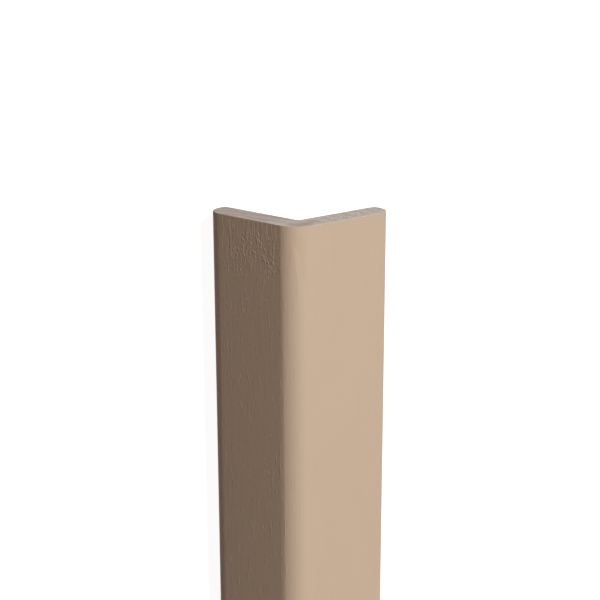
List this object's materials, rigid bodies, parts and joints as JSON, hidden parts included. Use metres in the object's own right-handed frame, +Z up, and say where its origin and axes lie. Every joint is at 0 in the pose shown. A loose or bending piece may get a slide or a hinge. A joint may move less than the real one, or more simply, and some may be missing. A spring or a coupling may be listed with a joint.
{
  "type": "corner guard moulding",
  "caption": "L-section wooden corner guard moulding with a rounded outer corner and rounded leg edges, painted beige outside, that covers and protects the outer corner of a wall.",
  "frame": {"origin": "on the floor, under the middle of the moulding as it lies on the edges of its two legs", "axes": "+Y along the length, +Z up out of the rounded outer corner, +X across to one leg's edge"},
  "size_m": [0.034, 1.2, 0.0208],
  "materials": {
    "painted_wood": "beige satin paint over planed wood, bare wood on the cut ends and the wall side"
  },
  "bodies": {
    "root": {"corner_guard": "painted_wood"}
  },
  "joints": []
}
